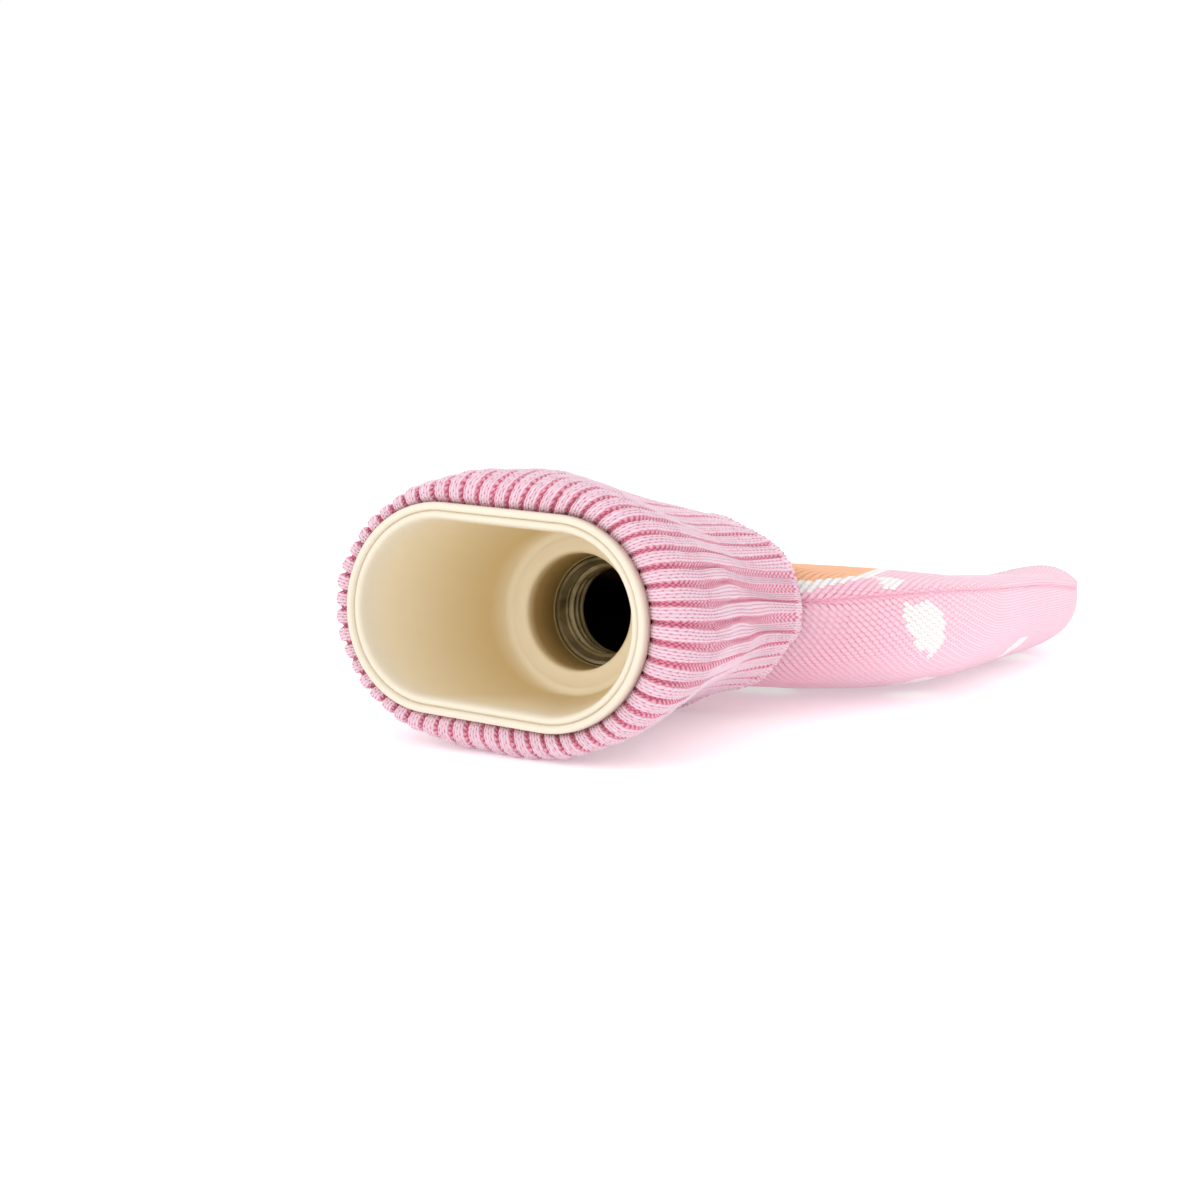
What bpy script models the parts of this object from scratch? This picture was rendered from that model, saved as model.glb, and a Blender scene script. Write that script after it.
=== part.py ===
"""Knitted cover with a turned-down ribbed collar, fitted on a small rubber hot water bottle.

The bottle lies on its back with its filling funnel facing -Y, its length along Y and its width along X.
Z = 0 is the surface that it lies on. Everything below is in millimetres until the mesh is made.
Distances "back" are measured from the plane of the funnel's rim, along the bottle, towards +Y.
"""

import math

import bmesh
import bpy

MM = 0.001

# Driving dimensions, in millimetres.
LENGTH = 248.5              # from the rim of the funnel to the far end of the cover
WIDTH = 166.0               # across the cover's body
MOUTH_HEIGHT = 33.0         # middle of the funnel's rim above the surface
TILT = math.radians(5.5)    # the funnel looks up by this much, and its axis drops towards the body
TWIST = math.radians(-2.8)  # the soft neck is turned a little about its own axis
KNIT = 2.4                  # thickness of the knitted fabric
RUBBER = 2.8                # thickness of the bottle's wall
GAP = 0.8                   # between the collar and the rubber
BODY_GAP = 1.2              # between the body's fabric and the rubber
LAYER_GAP = 0.4             # between the two layers of the collar
SEAM_GAP = 0.4              # between two pieces of fabric that are sewn together
LAYER_SHARE = 0.7           # the turned-down layer fills at most this much of the room over the sleeve

# Funnel, neck and threaded insert of the bottle.
MOUTH_HALF_WIDTH = 41.0
MOUTH_HALF_HEIGHT = 25.0
LIP_WIDTH = 4.2
LIP_DEPTH = 3.2
LIP_PROFILE = (
    # back, inward: a broad outer band, a groove and a narrower inner band
    (3.0, 0.0),
    (1.0, 0.0),
    (0.0, 0.8),
    (0.0, 2.0),
    (0.6, 2.3),
    (0.4, 3.1),
    (1.6, 4.0),
)
FUNNEL_STEPS = 5
FUNNEL_DEPTH = 40.0
FLOOR_RADIUS = 20.8
RECESS_RADIUS = 14.8
RECESS_DEPTH = 12.0
NECK_RADIUS = 18.0
BORE_RADIUS = 14.2
BORE_END = 68.0
BORE_FLARE = (3.0, 1.5)       # the bore opens into the hollow over this length, by this much
CAVITY_INSET = 9.0          # from the cover's side seam to the hollow, past the bottle's moulded edge
CAVITY_ROWS = (73.0, 78.0, 86.0, 98.0, 115.0, 140.0, 168.0, 195.0, 216.0, 232.0, 242.0)
INSERT_START = FUNNEL_DEPTH + RECESS_DEPTH + 2.6
INSERT_LENGTH = 9.2
INSERT_RADIUS = BORE_RADIUS - 0.3
THREAD_CREST = 10.8
THREAD_ROOT = 12.2
THREAD_PITCH = 2.4
THREAD_TURNS = 3
THREAD_START = 1.6          # behind the insert's front
THREAD_FLANK = 0.7
THREAD_TOP = 0.6
INSERT_CHAMFER = 0.9

# The funnel and neck outside: distance back, half width and half height.
FUNNEL_OUTSIDE = (
    (4.0, MOUTH_HALF_WIDTH - 0.9, MOUTH_HALF_HEIGHT - 0.9),
    (10.0, 37.2, 23.2),
    (FUNNEL_DEPTH, 22.9, 22.5),
    (FUNNEL_DEPTH + 8.0, 18.6, 18.6),
    (58.0, NECK_RADIUS, NECK_RADIUS),
)
FUNNEL_ROWS = (4.0, 16.0, 28.0, FUNNEL_DEPTH, FUNNEL_DEPTH + 8.0, 58.0)

# Ribbed collar.
RIBS = 56
POINTS_PER_RIB = 3
RIB_HEIGHT = 1.3
RIB_UNEVENNESS = 0.35       # of the ribs' height, in two slow waves round the collar
EDGE_WAVES = ((3, 1.6, 2.6), (7, 0.9, 0.0))  # the cuff's free edge: waves round it, height and start
COLLAR_SHIFT = 2.9          # the folded collar sits this far to +X of the funnel
CUFF_END = 73.5
SLEEVE_END = 56.5
LAYERS_PART = 8.0           # the turned-down layer and the sleeve part here, behind the rim
UNDERSIDE_ROWS = (60.0, 40.0, 18.0)
SLEEVE_ROWS = (18.0, 40.0)
SLEEVE_START = 9.0          # of its outer face
SLEEVE_LIP = 5.5            # start of its inner face, behind the rim

# Plan outline of the body: shoulders, corners and the rounding of the far end.
SLEEVE_HALF_WIDTH = 27.0
SHOULDER_START = 72.0
SHOULDER_LENGTH = 54.0
SHOULDER_POWER = 1.75
CORNER_RADIUS = 52.0
END_ROUNDING = 20.0         # of the underside
TOP_ROUNDING = 9.0          # of the upper side
SLEEVE_BLEND = 45.0         # the round sleeve turns into the flat body over this distance
LOBE_HEIGHT = 0.7           # soft swelling on each side of the middle
PUFF_HEIGHT = 7.6           # the fabric stands up at the far corner on +X
PUFF_WIDTH = 0.17           # of the half width
PUFF_PLACE = 0.98
PUFF_BACK = 233.0
PUFF_LENGTH = 17.0
BODY_ROWS = 19
ROW_CROWDING = 0.10         # draws the rows together at the shoulders and the far end
SHARP_ANGLE = math.radians(50)

# Height of the body at places along it: the side seam, the middle of the top, the raised edge of the top
# beside the seam, and the belly.
BODY_HEIGHTS = (
    # back, seam, middle, edge, belly
    (60.0, 27.5, 48.5, 0.0, 6.0),
    (68.0, 28.5, 47.5, 0.5, 5.6),
    (78.0, 30.5, 43.6, 1.5, 4.6),
    (92.0, 32.0, 38.0, 2.5, 3.4),
    (108.0, 32.0, 36.4, 3.0, 1.2),
    (130.0, 30.5, 29.9, 3.6, -1.6),
    (165.0, 27.5, 25.4, 4.0, -3.0),
    (195.0, 23.6, 21.4, 4.4, -3.5),
    (220.0, 20.3, 18.8, 3.0, -3.0),
    (LENGTH, 14.6, 19.0, 3.4, -2.5),
)

# The collar's fabric where it folds over at the rim: distance back, how far it stands outside the rim at the
# sides, on top and underneath, the length of the rounded side, and the powers of the curves at the upper
# right, which is full, and at the upper left and the lower right, where the fabric is drawn in.
COLLAR_FOLD = (
    # back, sides, top, underneath, round, upper right, upper left, lower right
    (3.6, 0.8, 0.8, 0.7, 25.7, 2.0, 2.0, 2.0),
    (1.9, 2.2, 2.4, 1.9, 28.0, 2.0, 1.97, 2.0),
    (1.5, 4.0, 4.4, 3.4, 32.0, 2.0, 1.92, 2.0),
    (2.8, 5.6, 6.2, 4.9, 37.0, 2.0, 1.84, 1.95),
    (5.6, 6.9, 7.7, 6.2, 42.0, 2.0, 1.80, 1.88),
    (10.0, 7.6, 8.5, 6.8, 47.5, 2.0, 1.81, 1.80),
    (18.0, 7.7, 8.3, 6.2, 48.5, 2.0, 1.90, 1.70),
)

# Shape of the cuff behind the fold: distance back, half width, height above and below the funnel's axis, the
# length of the rounded side, and the same three powers.
CUFF_SHAPE = (
    # back, half width, above, below, round, upper right, upper left, lower right
    (32.0, 47.8, 31.4, 30.2, 47.0, 2.0, 1.90, 1.52),
    (46.0, 45.6, 29.8, 28.0, 45.0, 2.05, 1.85, 1.46),
    (60.0, 44.2, 27.8, 26.0, 43.0, 2.4, 1.90, 1.48),
    (CUFF_END, 45.0, 25.2, 24.6, 42.0, 3.3, 1.95, 1.50),
)


def lookup(rows, back):
    """The row of a table at a distance back, a little eased between its rows."""
    if back <= rows[0][0]:
        return rows[0][1:]
    for low, high in zip(rows, rows[1:]):
        if back <= high[0]:
            part = (back - low[0]) / (high[0] - low[0])
            part = part * part * (3.0 - 2.0 * part) * 0.5 + part * 0.5
            return tuple(a + (b - a) * part for a, b in zip(low[1:], high[1:]))
    return rows[-1][1:]


def quarter(value, power=2.0):
    """Rounded fall from 1 at 0 to 0 at 1, as a quarter of a superellipse."""
    return max(0.0, 1.0 - min(1.0, abs(value)) ** power) ** (1.0 / power)


# ---------------------------------------------------------------- cross-sections round the neck

def track(half_width, above, below, side, upper_right, upper_left, lower_right, count):
    """Closed outline with straight runs and rounded sides, at even steps, from +X round over the top."""
    straight = half_width - side
    dense = []
    steps = 90
    quarters = ((above, 0.0, upper_right), (above, 0.5, upper_left), (below, 1.0, 2.0),
                (below, 1.5, lower_right))
    for height, start, power in quarters:
        for step in range(steps):
            angle = math.pi * (start + 0.5 * step / steps)
            across = math.cos(angle)
            up = math.copysign(quarter(across, power), math.sin(angle + 1e-9))
            dense.append((math.copysign(straight, math.cos(angle + 1e-9)) + side * across, height * up))
    dense.append(dense[0])
    lengths = [0.0]
    for a, b in zip(dense, dense[1:]):
        lengths.append(lengths[-1] + math.dist(a, b))
    outline = []
    place = 0
    for number in range(count):
        target = lengths[-1] * number / count
        while lengths[place + 1] < target:
            place += 1
        part = (target - lengths[place]) / (lengths[place + 1] - lengths[place])
        a, b = dense[place], dense[place + 1]
        outline.append((a[0] + (b[0] - a[0]) * part, a[1] + (b[1] - a[1]) * part))
    return outline


def neck_ring(outline, back):
    """Ring of points at a distance back along the funnel's tilted axis, turned by the neck's twist."""
    ring = []
    for x, z in outline:
        across = x * math.cos(TWIST) - z * math.sin(TWIST)
        up = x * math.sin(TWIST) + z * math.cos(TWIST)
        ring.append((
            across,
            back * math.cos(TILT) + up * math.sin(TILT),
            MOUTH_HEIGHT - back * math.sin(TILT) + up * math.cos(TILT),
        ))
    return ring


# ---------------------------------------------------------------- the body's surfaces

def plan_outline(back):
    """Half width of the cover's body at a distance back."""
    shoulder = (back - SHOULDER_START) / SHOULDER_LENGTH
    wide = SLEEVE_HALF_WIDTH
    if shoulder > 0.0:
        rise = quarter(1.0 - min(1.0, shoulder), SHOULDER_POWER)
        wide += (WIDTH / 2 - SLEEVE_HALF_WIDTH) * rise
    corner = (back - (LENGTH - CORNER_RADIUS)) / CORNER_RADIUS
    if corner > 0.0:
        wide -= CORNER_RADIUS * (1.0 - quarter(corner))
    return wide


def body_rows(rows):
    """Distances back of the rows across the body, closer together at the shoulders and the far end."""
    first = BODY_HEIGHTS[0][0]
    backs = []
    for number in range(rows):
        part = number / (rows - 1)
        eased = part - ROW_CROWDING * math.sin(2 * math.pi * part)
        backs.append(first + (LENGTH - first) * eased)
    return backs


def plan_row(back, inset):
    """Half width and place of a row, moved square to the plan outline by an inset."""
    step = 0.05
    if back > LENGTH - step:
        normal = (0.0, 1.0)
    else:
        slope = (plan_outline(back + step) - plan_outline(max(back - step, 0.0))) / (2 * step)
        size = math.hypot(1.0, slope)
        normal = (1.0 / size, -slope / size)
    return plan_outline(back) - inset * normal[0], back - inset * normal[1]


def top_height(across, back, place, inset=0.0):
    """Height of the upper surface, down by an inset, at a part of the half width from -1 to 1.

    The row belongs to the plan outline's distance back, and lies at its place once it is moved in.
    """
    seam, middle, edge, _ = lookup(BODY_HEIGHTS, place)
    end = quarter(max(0.0, back - LENGTH + TOP_ROUNDING) / TOP_ROUNDING)
    body = max(0.0, min(1.0, (place - BODY_HEIGHTS[0][0]) / SLEEVE_BLEND))
    dome = quarter(across) * (1.0 - body) + (1.0 - across * across) * body
    high = (middle - seam - edge) * dome + edge * quarter(across, 5.0)
    high += LOBE_HEIGHT * body * (4.0 * across * across * (1.0 - across * across)) ** 2
    puff = math.exp(-((across - PUFF_PLACE) / PUFF_WIDTH) ** 2 - ((place - PUFF_BACK) / PUFF_LENGTH) ** 2)
    high += PUFF_HEIGHT * puff * quarter(across, 5.0)
    return seam + SEAM_GAP / 2 + (high - inset * quarter(across, 6.0)) * end


def low_height(across, back, place, inset=0.0):
    """Height of the underside, up by an inset, flat where it touches the surface."""
    seam, _, _, belly = lookup(BODY_HEIGHTS, place)
    end = quarter(max(0.0, back - LENGTH + END_ROUNDING) / END_ROUNDING, 2.2)
    under = seam - SEAM_GAP / 2
    body = max(0.0, min(1.0, (place - BODY_HEIGHTS[0][0]) / SLEEVE_BLEND))
    floor = max(0.0, under - (seam - belly) * quarter(across, 1.8 + 1.2 * body) * end)
    return min(under, floor + inset * quarter(across, 6.0) * end)


def spread(columns):
    """Places across a row from -1 to 1, closer together towards the edges."""
    return [-math.cos(math.pi * number / (columns - 1)) for number in range(columns)]


def body_grid(height, inset, rows, columns):
    """Rows of points of one surface of the body."""
    grid = []
    for back in body_rows(rows):
        half, place = plan_row(back, inset)
        grid.append([(half * a, place, height(a, back, place, inset)) for a in spread(columns)])
    return grid


# ---------------------------------------------------------------- meshes

def make_object(name, points, faces, material):
    """Object from points in millimetres and faces."""
    mesh = bpy.data.meshes.new(name)
    mesh.from_pydata([(x * MM, y * MM, z * MM) for x, y, z in points], [], faces)
    work = bmesh.new()
    work.from_mesh(mesh)
    bmesh.ops.remove_doubles(work, verts=work.verts, dist=1e-7)
    bmesh.ops.recalc_face_normals(work, faces=work.faces)
    work.to_mesh(mesh)
    work.free()
    mesh.shade_smooth()
    mesh.set_sharp_from_angle(angle=SHARP_ANGLE)
    mesh.materials.append(material)
    item = bpy.data.objects.new(name, mesh)
    bpy.context.scene.collection.objects.link(item)
    return item


def between_rings(rings, close_loop):
    """Points and faces between closed rings; the last ring joins the first where the loop is closed."""
    count = len(rings[0])
    points = [point for ring in rings for point in ring]
    faces = []
    pairs = len(rings) if close_loop else len(rings) - 1
    for ring in range(pairs):
        a = ring * count
        b = ((ring + 1) % len(rings)) * count
        for number in range(count):
            after = (number + 1) % count
            faces.append((a + number, a + after, b + after, b + number))
    return points, faces


def sheet_faces(outer, inner):
    """Points and faces of a closed sheet between two grids of the same size."""
    rows = len(outer)
    columns = len(outer[0])
    size = rows * columns
    points = [point for row in outer for point in row] + [point for row in inner for point in row]
    faces = []
    for row in range(rows - 1):
        for column in range(columns - 1):
            a = row * columns + column
            faces.append((a, a + 1, a + columns + 1, a + columns))
            b = a + size
            faces.append((b, b + columns, b + columns + 1, b + 1))
    rim = [row * columns for row in range(rows)]
    rim += [(rows - 1) * columns + column for column in range(1, columns)]
    rim += [row * columns + columns - 1 for row in range(rows - 2, -1, -1)]
    rim += [column for column in range(columns - 2, 0, -1)]
    for a, b in zip(rim, rim[1:] + rim[:1]):
        faces.append((a, b, b + size, a + size))
    return points, faces


# ---------------------------------------------------------------- pieces

def make_panel(name, height, material, rows=BODY_ROWS, columns=21):
    """One face of the knitted bag, from the collar's inner end to the seam round its other three sides."""
    outer = body_grid(height, 0.0, rows, columns)
    inner = body_grid(height, KNIT, rows, columns)
    points, faces = sheet_faces(outer, inner)
    return make_object(name, points, faces, material)


def collar_ring(back, shape, count):
    """Ring of the collar's fabric, which sits a little to one side of the funnel once it is folded over."""
    ring = neck_ring(track(*shape, count), back)
    shift = COLLAR_SHIFT * (shape[0] - MOUTH_HALF_WIDTH) / COLLAR_FOLD[-1][1]
    return [(x + max(0.0, shift), y, z) for x, y, z in ring]


def collar_shape(back, stand):
    """Shape of the cuff's fabric at a distance back, moved in by a stand."""
    half, above, below, side, *powers = lookup(CUFF_ROWS, back)
    return half - stand, above - stand, below - stand, side - stand, *powers


def underside(back, count):
    """Ring of the turned-down fabric's hidden face, always clear of the sleeve beneath it."""
    ring = []
    beneath = funnel_ring(back, GAP + KNIT, count)
    for a, b in zip(collar_ring(back, collar_shape(back, 0.0), count), beneath):
        part = min(LAYER_SHARE, KNIT / math.dist(a, b))
        ring.append(tuple(p + (q - p) * part for p, q in zip(a, b)))
    return ring


def rim_row(sides, top, underneath, *rounding):
    """A fold row of the collar as a shape: the funnel's rim grown by how far the fabric stands outside it."""
    return MOUTH_HALF_WIDTH + sides, MOUTH_HALF_HEIGHT + top, MOUTH_HALF_HEIGHT + underneath, *rounding


CUFF_ROWS = ((COLLAR_FOLD[-1][0],) + rim_row(*COLLAR_FOLD[-1][1:]),) + CUFF_SHAPE


def funnel_ring(back, stand, count):
    """Ring of the funnel's outer surface, grown by a stand: a stadium at the rim, round at the neck."""
    half, high = lookup(FUNNEL_OUTSIDE, back)
    return neck_ring(track(*stadium(half + stand, high + stand), count), back)


def stadium(half_width, half_height):
    """Shape with straight runs and half-round sides; a circle where the two are equal."""
    return half_width, half_height, half_height, half_height, 2.0, 2.0, 2.0


def ribbed(rings, facings, heights):
    """Raises the ribs on rings of the collar: each rib is a flat band and a valley between two of them."""
    out = []
    for ring, facing, height in zip(rings, facings, heights):
        count = len(ring)
        moved = []
        for number, (x, y, z) in enumerate(ring):
            a = ring[number - 1]
            b = ring[(number + 1) % count]
            size = math.hypot(b[0] - a[0], b[2] - a[2])
            normal = ((b[2] - a[2]) / size, -(b[0] - a[0]) / size)
            lift = 0.0 if number % POINTS_PER_RIB == 0 else height
            lift += RIB_UNEVENNESS * height * math.sin(number * 0.61) * math.sin(number * 0.17 + 1.0)
            moved.append((x + normal[0] * facing[0] * lift, y - facing[1] * lift,
                          max(0.0, z + normal[1] * facing[0] * lift)))
        out.append(moved)
    return out


def make_collar(material):
    """Ribbed collar: a sleeve up the neck, folded outwards at the rim and turned down over the shoulders."""
    count = RIBS * POINTS_PER_RIB
    outer, facings, heights = [], [], []
    for number, (back, *stands) in enumerate(COLLAR_FOLD):
        outer.append(collar_ring(back, rim_row(*stands), count))
        slant = number / (len(COLLAR_FOLD) - 1)
        facings.append((math.sin(slant * math.pi / 2), math.cos(slant * math.pi / 2)))
        heights.append(RIB_HEIGHT if number else RIB_HEIGHT * 0.5)
    for back in [row[0] for row in CUFF_SHAPE[:-1]] + [CUFF_END - KNIT / 2]:
        outer.append(collar_ring(back, collar_shape(back, 0.0), count))
        facings.append((1.0, 0.0))
        heights.append(RIB_HEIGHT * 0.8)
    outer = ribbed(outer, facings, heights)
    outer = [wavy_edge(ring) if ring is outer[-1] else ring for ring in outer]
    hidden = [wavy_edge(collar_ring(CUFF_END, collar_shape(CUFF_END, KNIT * 0.5), count))]
    hidden.append(wavy_edge(underside(CUFF_END - 1.0, count)))
    hidden += [underside(back, count) for back in UNDERSIDE_ROWS]
    hidden.append(funnel_ring(LAYERS_PART, GAP + KNIT + LAYER_GAP, count))
    sleeve = [funnel_ring(back, GAP + KNIT, count) for back in (SLEEVE_START, *SLEEVE_ROWS, SLEEVE_END)]
    inside = [funnel_ring(back, GAP, count) for back in (SLEEVE_END, *reversed(SLEEVE_ROWS), SLEEVE_LIP)]
    rings = outer + hidden + sleeve + inside
    points, faces = between_rings(rings, True)
    return make_object("ribbed_collar", points, faces, material)


def wavy_edge(ring):
    """The cuff's free edge, which lies a little unevenly."""
    out = []
    for number, (x, y, z) in enumerate(ring):
        angle = 2 * math.pi * number / len(ring)
        wave = sum(high * math.sin(waves * angle + start) for waves, high, start in EDGE_WAVES)
        out.append((x, y + wave, z))
    return out


def bottle_rings(count):
    """Rings of the bottle from the far end outside, round the rim and back to the far end inside."""
    outside = []
    inset = KNIT + BODY_GAP
    for back in reversed(body_rows(BODY_ROWS)):
        half, place = plan_row(back, inset)
        outside.append(body_ring(back, place, half, inset, count))
    for back in reversed(FUNNEL_ROWS):
        outside.append(funnel_ring(back, 0.0, count))
    lip = []
    for back, inward in LIP_PROFILE:
        shape = stadium(MOUTH_HALF_WIDTH - inward, MOUTH_HALF_HEIGHT - inward)
        lip.append(neck_ring(track(*shape, count), back))
    inside = []
    start_half = MOUTH_HALF_WIDTH - LIP_WIDTH
    start_high = MOUTH_HALF_HEIGHT - LIP_WIDTH
    for number in range(FUNNEL_STEPS + 1):
        part = number / FUNNEL_STEPS
        back = LIP_DEPTH + (FUNNEL_DEPTH - LIP_DEPTH) * part
        half = start_half + (FLOOR_RADIUS - start_half) * part ** 1.1
        high = start_high + (FLOOR_RADIUS - start_high) * part
        inside.append(neck_ring(track(*stadium(half, high), count), back))
    floor = FUNNEL_DEPTH + 1.6
    for back, radius in (
        (floor, FLOOR_RADIUS - 1.8),
        (floor + 0.3, RECESS_RADIUS + 1.0),
        (floor + 1.2, RECESS_RADIUS),
        (FUNNEL_DEPTH + RECESS_DEPTH + 2.0, RECESS_RADIUS - 0.3),
        (FUNNEL_DEPTH + RECESS_DEPTH + 2.2, BORE_RADIUS),
        (BORE_END - BORE_FLARE[0], BORE_RADIUS),
        (BORE_END, BORE_RADIUS + BORE_FLARE[1]),
    ):
        inside.append(neck_ring(track(*stadium(radius, radius), count), back))
    cavity = [cavity_ring(back, count) for back in CAVITY_ROWS]
    return outside + lip + inside + cavity


def body_ring(back, place, half, inset, count):
    """Cross-section of the bottle's body, from +X round over the top."""
    ring = []
    for number in range(count):
        angle = 2 * math.pi * number / count
        across = math.cos(angle)
        height = top_height if number * 2 <= count else low_height
        ring.append((half * across, place, height(across, back, place, inset)))
    return ring


def cavity_ring(back, count):
    """Cross-section of the hollow inside the bottle's body."""
    half, place = plan_row(back, CAVITY_INSET)
    thick = KNIT + BODY_GAP + RUBBER
    ring = []
    for number in range(count):
        angle = 2 * math.pi * number / count
        across = half * math.cos(angle) / plan_outline(place)
        top = top_height(across, place, place) - thick
        low = low_height(across, place, place) + thick
        height = max(1.2, (top - low) / 2)
        upright = math.copysign(abs(math.sin(angle)) ** 0.7, math.sin(angle))
        ring.append((half * math.cos(angle), place, (top + low) / 2 + height * upright))
    return ring


def make_bottle(material, count=40):
    """Moulded rubber bottle: funnel, neck and hollow body in one piece, open only at the funnel."""
    rings = bottle_rings(count)
    points, faces = between_rings(rings, False)
    for first in (0, (len(rings) - 1) * count):
        for number in range(count // 2):
            a, b = first + number, first + number + 1
            c, d = first + (count - number - 1) % count, first + (count - number) % count
            face = [a, b, c, d]
            unique = []
            for corner in face:
                if corner not in unique:
                    unique.append(corner)
            if len(unique) > 2:
                faces.append(tuple(unique))
    return make_object("rubber_bottle", points, faces, material)


def make_insert(material, count=36):
    """Threaded insert in the neck: a tube with raised thread rings inside and a flange at its front."""
    profile = [(INSERT_START, INSERT_RADIUS), (INSERT_START, THREAD_ROOT + INSERT_CHAMFER)]
    for turn in range(THREAD_TURNS):
        root = INSERT_START + THREAD_START + turn * THREAD_PITCH
        crest = root + THREAD_FLANK
        profile.append((root, THREAD_ROOT))
        profile.append((crest, THREAD_CREST))
        profile.append((crest + THREAD_TOP, THREAD_CREST))
        profile.append((crest + THREAD_TOP + THREAD_FLANK, THREAD_ROOT))
    end = INSERT_START + INSERT_LENGTH
    profile += [(end, THREAD_ROOT), (end, INSERT_RADIUS)]
    rings = [neck_ring(track(*stadium(radius, radius), count), back) for back, radius in profile]
    points, faces = between_rings(rings, True)
    return make_object("neck_insert", points, faces, material)


def make_material(name, colour, roughness, metallic=0.0):
    material = bpy.data.materials.new(name)
    material.use_nodes = True
    shader = material.node_tree.nodes["Principled BSDF"]
    shader.inputs["Base Color"].default_value = (*colour, 1.0)
    shader.inputs["Roughness"].default_value = roughness
    shader.inputs["Metallic"].default_value = metallic
    return material


def centre(items):
    """Moves the meshes together so that the middle of their common box is above the origin."""
    points = [vertex.co for item in items for vertex in item.data.vertices]
    for axis in (0, 1):
        low = min(point[axis] for point in points)
        high = max(point[axis] for point in points)
        for item in items:
            for vertex in item.data.vertices:
                vertex.co[axis] -= (low + high) / 2


def main():
    for item in list(bpy.data.objects):
        bpy.data.objects.remove(item, do_unlink=True)
    pink = make_material("pink knit", (0.86, 0.45, 0.58), 0.95)
    cream = make_material("cream rubber", (0.80, 0.70, 0.50), 0.55)
    grey = make_material("dull metal", (0.42, 0.40, 0.32), 0.45, 0.6)
    centre([
        make_panel("front_panel", top_height, pink),
        make_panel("back_panel", low_height, pink),
        make_collar(pink),
        make_bottle(cream),
        make_insert(grey),
    ])


main()
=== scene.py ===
"""Knitted cover with a turned-down ribbed collar on a small rubber bottle, dressed for a render.

The bottle lies on its back with its filling funnel facing -Y. Sizes are in millimetres until a mesh is made.
"""

import math
from functools import partial

import bmesh
import bpy
import numpy as np
from mathutils import Matrix, Vector


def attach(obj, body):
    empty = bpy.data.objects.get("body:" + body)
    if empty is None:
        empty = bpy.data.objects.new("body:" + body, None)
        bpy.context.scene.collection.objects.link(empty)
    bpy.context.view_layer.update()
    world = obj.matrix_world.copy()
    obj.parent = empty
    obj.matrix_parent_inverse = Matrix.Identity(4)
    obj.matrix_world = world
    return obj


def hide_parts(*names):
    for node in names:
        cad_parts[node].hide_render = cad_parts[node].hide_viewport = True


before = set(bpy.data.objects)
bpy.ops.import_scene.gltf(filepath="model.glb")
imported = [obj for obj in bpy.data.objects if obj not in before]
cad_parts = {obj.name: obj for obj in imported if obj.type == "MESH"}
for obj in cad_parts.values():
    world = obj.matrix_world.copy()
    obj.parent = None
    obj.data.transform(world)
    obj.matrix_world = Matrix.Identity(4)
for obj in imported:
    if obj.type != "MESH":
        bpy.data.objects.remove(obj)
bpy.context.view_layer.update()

bl_info = {
    "name": "Knitted bottle cover",
    "version": (1, 0, 0),
    "blender": (4, 5, 0),
    "location": "View3D > Sidebar > Bottle cover",
    "description": "Builds a ribbed, knitted cover, its rubber bottle and a plain stage",
    "category": "Object",
}

MM = 0.001

# The funnel's rim plane in the frame, and how the neck leans and turns.
RIM_Y = -122.87
MOUTH_HEIGHT = 33.0
TILT = math.radians(5.5)
TWIST = math.radians(-2.8)

# The cover's size, its cloth, the gap under the collar, the rim, and where cuff and sleeve end.
LENGTH = 248.5
WIDTH = 166.0
KNIT = 2.4
GAP = 0.8
MOUTH_HALF_WIDTH = 41.0
MOUTH_HALF_HEIGHT = 25.0
CUFF_END = 73.5
SLEEVE_END = 56.5

# The funnel outside: distance back, half width and half height.
FUNNEL_OUTSIDE = (
    (4.0, 40.1, 24.1),
    (10.0, 37.2, 23.2),
    (40.0, 22.9, 22.5),
    (48.0, 18.6, 18.6),
    (58.0, 18.0, 18.0),
)

# Plan and heights of the body.
SLEEVE_HALF_WIDTH = 27.0
SHOULDER_START = 72.0
SHOULDER_LENGTH = 54.0
SHOULDER_POWER = 1.75
CORNER_RADIUS = 52.0
END_ROUNDING = 20.0
TOP_ROUNDING = 9.0
SLEEVE_BLEND = 45.0
LOBE_HEIGHT = 0.7
PUFF_HEIGHT = 7.6
PUFF_WIDTH = 0.17
PUFF_PLACE = 0.98
PUFF_BACK = 233.0
PUFF_LENGTH = 17.0
BODY_START = 60.0
BODY_HEIGHTS = (
    # back, seam, middle, edge, belly
    (60.0, 27.5, 48.5, 0.0, 6.0),
    (68.0, 28.5, 47.5, 0.5, 5.6),
    (78.0, 30.5, 43.6, 1.5, 4.6),
    (92.0, 32.0, 38.0, 2.5, 3.4),
    (108.0, 32.0, 36.4, 3.0, 1.2),
    (130.0, 30.5, 29.9, 3.6, -1.6),
    (165.0, 27.5, 25.4, 4.0, -3.0),
    (195.0, 23.6, 21.4, 4.4, -3.5),
    (220.0, 20.3, 18.8, 3.0, -3.0),
    (LENGTH, 14.6, 19.0, 3.4, -2.5),
)

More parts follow.
